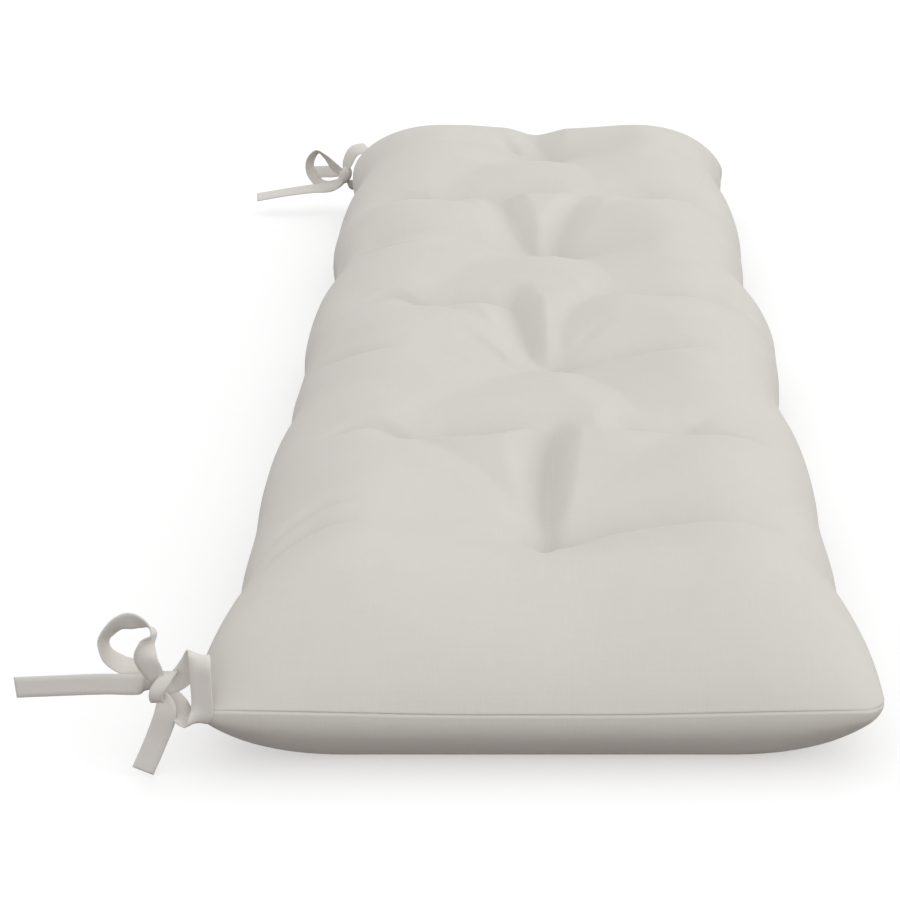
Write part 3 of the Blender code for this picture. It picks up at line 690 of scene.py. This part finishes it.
def lower_rings(keep_i, keep_j):
    """Grid places around each face of the lower panel, which takes in every mesh line along the seam."""
    for i, next_i in zip(keep_i, keep_i[1:]):
        for j, next_j in zip(keep_j, keep_j[1:]):
            along_i = range(i, next_i) if j == keep_j[0] else (i,)
            along_j = range(j, next_j) if next_i == keep_i[-1] else (j,)
            back_i = range(next_i, i, -1) if next_j == keep_j[-1] else (next_i,)
            back_j = range(next_j, j, -1) if i == keep_i[0] else (next_j,)
            ring = [(k, j) for k in along_i] + [(next_i, k) for k in along_j]
            ring += [(k, next_j) for k in back_i] + [(i, k) for k in back_j]
            yield ring[::-1]


def make_cushion(cloth):
    """The cushion as one closed mesh: a grid for each panel, with the sewn edge in common."""
    lines_x = line_places(LENGTH / 2, slanted_lines(), upright_lines())
    lines_y = line_places(DEPTH / 2, upright_lines(), upright_lines())
    x, y = np.meshgrid(lines_x, lines_y, indexing="ij")
    top = top_panel(x, y)
    under = lower_panel(x, y)
    keep_i, keep_j = kept_lines(lines_x), kept_lines(lines_y)
    inner_i, inner_j = np.meshgrid(keep_i[1:-1], keep_j[1:-1], indexing="ij")
    points = np.vstack([top.reshape(-1, 3), under[inner_i, inner_j].reshape(-1, 3)])
    index = np.arange(x.size).reshape(x.shape)
    under_index = index.copy()
    under_index[inner_i, inner_j] = x.size + np.arange(inner_i.size).reshape(inner_i.shape)

    quads = np.stack([index[:-1, :-1], index[1:, :-1], index[1:, 1:], index[:-1, 1:]], axis=2)
    faces = quads.reshape(-1, 4).tolist()
    top_u, top_v = flat_places(top)
    uvs = np.stack([top_u.ravel(), top_v.ravel()], axis=1)[quads.reshape(-1)].tolist()
    under_u, under_v = flat_places(under)
    for ring in lower_rings(keep_i, keep_j):
        faces.append([int(under_index[place]) for place in ring])
        uvs += [(under_u[place], under_v[place]) for place in ring]
    return new_object("bench_cushion", points, faces, uvs, cloth)


def unit(vectors):
    return vectors / np.linalg.norm(vectors, axis=1, keepdims=True)


def tie_place(place, end):
    """A place given in millimetres from the sewn corner of one end, -1 or +1 along X, in metres."""
    corner = np.array([end * (LENGTH / 2 - TIE_INSET), DEPTH / 2 - TIE_INSET, TIE_HEIGHT])
    return corner + np.asarray(place) * np.array([-end, 1.0, 1.0]) * MILLIMETRE


def ribbon_section():
    """Cross-section of the ribbon, as shares of its half width and half thickness, anticlockwise."""
    edge = 1.0 - RIBBON_ROUNDING * RIBBON_THICKNESS / RIBBON_WIDTH * 2
    flat = ((edge, 1.0), (0.5, 1.0), (0.0, 1.0), (-0.5, 1.0), (-edge, 1.0))
    turned = tuple((-a, -b) for a, b in flat)
    return flat + ((-1.0, 0.0),) + turned + ((1.0, 0.0),)


def ribbon(stations, end):
    """Points, faces and cloth coordinates of a flat strip swept through its stations."""
    rows = np.array([[*station[:3], *station[3], station[4]] for station in stations])
    rows = smooth_through(rows, RIBBON_STEPS)
    middle = tie_place(rows[:, :3], end)
    along = unit(np.gradient(middle, axis=0))
    across = rows[:, 3:6] * np.array([-end, 1.0, 1.0])
    across = unit(across - np.sum(across * along, axis=1, keepdims=True) * along)
    half_width = across * rows[:, 6:] * RIBBON_WIDTH / 2
    half_thickness = np.cross(along, across) * RIBBON_THICKNESS / 2
    section = ribbon_section()
    rings = np.stack([middle + a * half_width + b * half_thickness for a, b in section], axis=1)
    count = len(section)
    run = np.concatenate([[0.0], np.cumsum(np.linalg.norm(np.diff(middle, axis=0), axis=1))])
    u = np.repeat(run[:, None], count, axis=1)
    v = np.array([a for a, _ in section])[None, :] * rows[:, 6:] * RIBBON_WIDTH / 2
    last = (len(rings) - 1) * count
    faces = [list(range(count))[::-1], [last + k for k in range(count)]]
    for start in range(0, last, count):
        for k in range(count):
            after = (k + 1) % count
            faces.append([start + k, start + after, start + count + after, start + count + k])
    return rings.reshape(-1, 3), faces, np.stack([u.ravel(), v.ravel()], axis=1)


def knot_lump(knot, end):
    """Points, faces and cloth coordinates of the tight knot."""
    middle, halves, lean = knot
    places = [
        (math.pi * ring / KNOT_RINGS, 2 * math.pi * side / KNOT_SIDES)
        for ring in range(1, KNOT_RINGS) for side in range(KNOT_SIDES)
    ]
    top, bottom = len(places), len(places) + 1
    points = []
    plan = []
    for polar, angle in places + [(0.0, 0.0), (math.pi, 0.0)]:
        inward = halves[0] * math.sin(polar) * math.cos(angle)
        outward = halves[1] * math.sin(polar) * math.sin(angle)
        up = halves[2] * math.cos(polar)
        points.append((middle[0] + inward, middle[1] + outward - lean * up, middle[2] + up))
        plan.append((angle * KNOT_CLOTH_RADIUS, up * MILLIMETRE))
    faces = []
    for side in range(KNOT_SIDES):
        after = (side + 1) % KNOT_SIDES
        for first in range(0, top - KNOT_SIDES, KNOT_SIDES):
            second = first + KNOT_SIDES
            faces.append([first + side, first + after, second + after, second + side])
        faces.append([top, after, side])
        faces.append([bottom, top - KNOT_SIDES + side, top - KNOT_SIDES + after])
    return tie_place(np.array(points), end), faces, np.array(plan)


def make_tie(name, end, knot, runs, cloth):
    """One ribbon, tied in a bow: its runs and its knot in one mesh."""
    parts = [ribbon(stations, end) for stations in runs] + [knot_lump(knot, end)]
    points, faces, uvs = [], [], []
    start = 0
    for part_points, part_faces, part_uvs in parts:
        points.append(part_points)
        faces += [[start + k for k in face] for face in part_faces]
        uvs += [part_uvs[k] for face in part_faces for k in face]
        start += len(part_points)
    tie = new_object(name, np.vstack(points), faces, np.array(uvs), cloth)
    shape = bmesh.new()
    shape.from_mesh(tie.data)
    bmesh.ops.recalc_face_normals(shape, faces=shape.faces)
    shape.to_mesh(tie.data)
    shape.free()
    return tie


class Nodes:
    """Short calls that add shader nodes to the node tree of one material or world."""

    def __init__(self, owner):
        owner.use_nodes = True
        self.tree = owner.node_tree

    def add(self, kind, inputs=(), **settings):
        node = self.tree.nodes.new(kind)
        for key, value in settings.items():
            setattr(node, key, value)
        for key, value in dict(inputs).items():
            self.feed(node, key, value)
        return node

    def feed(self, node, key, value):
        """Set an input to a plain value, or link it to another node's output."""
        if isinstance(value, bpy.types.NodeSocket):
            self.tree.links.new(value, node.inputs[key])
        else:
            node.inputs[key].default_value = value

    def math(self, operation, first, second=0.0):
        return self.add("ShaderNodeMath", {0: first, 1: second}, operation=operation).outputs[0]

    def noise(self, vector, scale, detail=2.0, roughness=0.5):
        inputs = {"Vector": vector, "Scale": scale, "Detail": detail, "Roughness": roughness}
        return self.add("ShaderNodeTexNoise", inputs).outputs["Fac"]

    def scaled(self, vector, scale):
        return self.add("ShaderNodeMapping", {"Vector": vector, "Scale": scale}).outputs[0]

    def mix(self, share, first, second):
        """A blend of two colours: sockets 6 and 7 are the mix node's colour inputs."""
        inputs = {0: share, 6: (*first, 1.0), 7: (*second, 1.0)}
        return self.add("ShaderNodeMix", inputs, data_type="RGBA").outputs["Result"]

    def bump(self, height, relief, **below):
        """Relief of a strength and a depth, on top of coarser relief if that is given as Normal."""
        strength, depth = relief
        inputs = {"Height": height, "Strength": strength, "Distance": depth, **below}
        return self.add("ShaderNodeBump", inputs).outputs[0]


def weave_height(nodes, u, v):
    """Height of a plain weave, 0 to 1: warp and weft threads that pass over each other by turns."""
    turns = math.pi / THREAD_PITCH
    sine_u = nodes.math("SINE", nodes.math("MULTIPLY", u, turns))
    sine_v = nodes.math("SINE", nodes.math("MULTIPLY", v, turns))
    over = nodes.math("MULTIPLY", nodes.math("MULTIPLY", sine_u, sine_v), THREAD_CROSSING)
    warp_round = nodes.math("MULTIPLY", nodes.math("ABSOLUTE", sine_u), THREAD_ROUND)
    weft_round = nodes.math("MULTIPLY", nodes.math("ABSOLUTE", sine_v), THREAD_ROUND)
    warp = nodes.math("ADD", warp_round, over)
    weft = nodes.math("SUBTRACT", weft_round, over)
    return nodes.math("MAXIMUM", warp, weft)


def woven_cloth(name, color):
    """A matt plain-weave cloth with uneven threads, soft mottling and fine wrinkles."""
    made = bpy.data.materials.new(name)
    nodes = Nodes(made)
    plan = nodes.add("ShaderNodeUVMap", uv_map=UV_NAME).outputs[0]
    waver = nodes.math("SUBTRACT", nodes.noise(plan, WAVER_SCALE), 0.5)
    shift = nodes.math("MULTIPLY", waver, THREAD_PITCH * THREAD_WAVER)
    split = nodes.add("ShaderNodeSeparateXYZ", {"Vector": plan})
    u = nodes.math("ADD", split.outputs[0], shift)
    v = nodes.math("ADD", split.outputs[1], shift)
    height = weave_height(nodes, u, v)
    warp_slubs = nodes.noise(nodes.scaled(plan, (1 / THREAD_PITCH, SLUB_SCALE, 1.0)), 1.0)
    weft_slubs = nodes.noise(nodes.scaled(plan, (SLUB_SCALE, 1 / THREAD_PITCH, 1.0)), 1.0)
    slubs = nodes.math("MULTIPLY", nodes.math("ADD", warp_slubs, weft_slubs), 0.5)
    mottle = nodes.noise(plan, MOTTLE_SCALE, MOTTLE_DETAIL)

    tone = LEAST_TONE
    for pattern, share in ((slubs, SLUB_TONE), (mottle, MOTTLE_TONE), (height, WEAVE_TONE)):
        tone = nodes.math("ADD", tone, nodes.math("MULTIPLY", pattern, share))
    brightness = nodes.add("ShaderNodeCombineXYZ", {0: tone, 1: tone, 2: tone}).outputs[0]
    warm, cool = (tuple(c * t for c, t in zip(color, tint)) for tint in (WARM_TINT, COOL_TINT))
    tinted = nodes.mix(nodes.noise(plan, TINT_SCALE), warm, cool)
    base = nodes.add("ShaderNodeVectorMath", {0: tinted, 1: brightness}, operation="MULTIPLY").outputs[0]

    stretched = nodes.scaled(plan, (1.0, WRINKLE_STRETCH, 1.0))
    wrinkles = nodes.noise(stretched, WRINKLE_SCALE, WRINKLE_DETAIL, WRINKLE_GRAIN)
    relief = nodes.bump(wrinkles, WRINKLE_RELIEF)
    relief = nodes.bump(slubs, SLUB_RELIEF, Normal=relief)
    relief = nodes.bump(height, WEAVE_RELIEF, Normal=relief)
    roughness = nodes.math("ADD", nodes.math("MULTIPLY", slubs, SLUB_ROUGHNESS), LEAST_ROUGHNESS)

    shader = nodes.tree.nodes["Principled BSDF"]
    nodes.feed(shader, "Base Color", base)
    nodes.feed(shader, "Roughness", roughness)
    nodes.feed(shader, "Normal", relief)
    nodes.feed(shader, "Sheen Weight", SHEEN)
    nodes.feed(shader, "Sheen Roughness", SHEEN_ROUGHNESS)
    nodes.feed(shader, "Specular IOR Level", SPECULAR)
    return made


def make_camera():
    """A camera before the near end, aimed along the length and down by its pitch."""
    camera = bpy.data.cameras.new("camera")
    camera.lens = CAMERA_LENS
    camera.sensor_width = CAMERA_SENSOR
    camera.shift_x = CAMERA_SHIFT
    camera.clip_end = CAMERA_REACH
    holder = bpy.data.objects.new("camera", camera)
    holder.location = (-LENGTH / 2 - CAMERA_BEFORE_END, 0.0, CAMERA_HEIGHT)
    holder.rotation_euler = (math.pi / 2 - CAMERA_PITCH, 0.0, -math.pi / 2)
    bpy.context.scene.collection.objects.link(holder)
    bpy.context.scene.camera = holder


def soft_sun(name, towards, strength):
    """A broad light from a direction, as even as a large softbox far away."""
    light = bpy.data.lights.new(name, "SUN")
    light.angle = SUN_BREADTH
    light.energy = strength
    holder = bpy.data.objects.new(name, light)
    holder.rotation_euler = Vector(towards).to_track_quat("Z", "Y").to_euler()
    bpy.context.scene.collection.objects.link(holder)


def make_world():
    """Even white light from above, and a little warm light from below."""
    world = bpy.data.worlds.new("studio")
    nodes = Nodes(world)
    place = nodes.add("ShaderNodeTexCoord").outputs["Generated"]
    height = nodes.add("ShaderNodeSeparateXYZ", {"Vector": place}).outputs["Z"]
    horizon = {"Value": height, "From Min": HORIZON_FOOT, "From Max": HORIZON_TOP}
    share = nodes.add("ShaderNodeMapRange", horizon).outputs["Result"]
    back = nodes.tree.nodes["Background"]
    nodes.feed(back, "Color", nodes.mix(share, GROUND_LIGHT, SKY_COLOR))
    nodes.feed(back, "Strength", SKY_STRENGTH)
    bpy.context.scene.world = world


def make_floor():
    """A plain pale floor, which glows a little so that shadows on it stay faint."""
    paint = bpy.data.materials.new("floor_paint")
    nodes = Nodes(paint)
    shader = nodes.tree.nodes["Principled BSDF"]
    nodes.feed(shader, "Base Color", (*FLOOR_COLOR, 1.0))
    nodes.feed(shader, "Roughness", FLOOR_ROUGHNESS)
    nodes.feed(shader, "Specular IOR Level", 0.0)
    nodes.feed(shader, "Emission Color", (1.0, 1.0, 1.0, 1.0))
    nodes.feed(shader, "Emission Strength", FLOOR_GLOW)
    mesh = bpy.data.meshes.new("floor")
    corners = [(x * FLOOR_HALF, y * FLOOR_HALF, 0.0) for x, y in ((-1, -1), (1, -1), (1, 1), (-1, 1))]
    mesh.from_pydata(corners, [], [(0, 1, 2, 3)])
    mesh.materials.append(paint)
    floor = bpy.data.objects.new("floor", mesh)
    floor.location.z = FLOOR_DROP
    floor.visible_diffuse = False
    bpy.context.scene.collection.objects.link(floor)


def make_studio():
    """The sky, the two broad lights and the floor, shown in plain colours."""
    bpy.context.scene.view_settings.view_transform = "Standard"
    make_world()
    soft_sun("right_sun", RIGHT_TOWARDS, RIGHT_STRENGTH)
    soft_sun("near_sun", NEAR_TOWARDS, NEAR_STRENGTH)
    make_floor()


make_camera()
make_studio()

cushion = make_cushion(woven_cloth("cushion_cloth", CLOTH_COLOR))
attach(cushion, "root")
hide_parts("cushion")

tie_cloth = woven_cloth("tie_cloth", TIE_COLOR)
TIES = (
    ("near_bow", "tie_near", -1, NEAR_RIBBON_LENGTH, NEAR_KNOT,
     (NEAR_RING, NEAR_BOW, NEAR_SIDE_TAIL, NEAR_LOW_TAIL, NEAR_WRAP)),
    ("far_bow", "tie_far", 1, FAR_RIBBON_LENGTH, FAR_KNOT,
     (FAR_RING, FAR_BOW, FAR_SIDE_TAIL, FAR_SHORT_TAIL)),
)
for name, node, end, length, knot, runs in TIES:
    tie = make_tie(name, end, knot, runs, tie_cloth)
    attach(tie, "root")
    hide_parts(node)
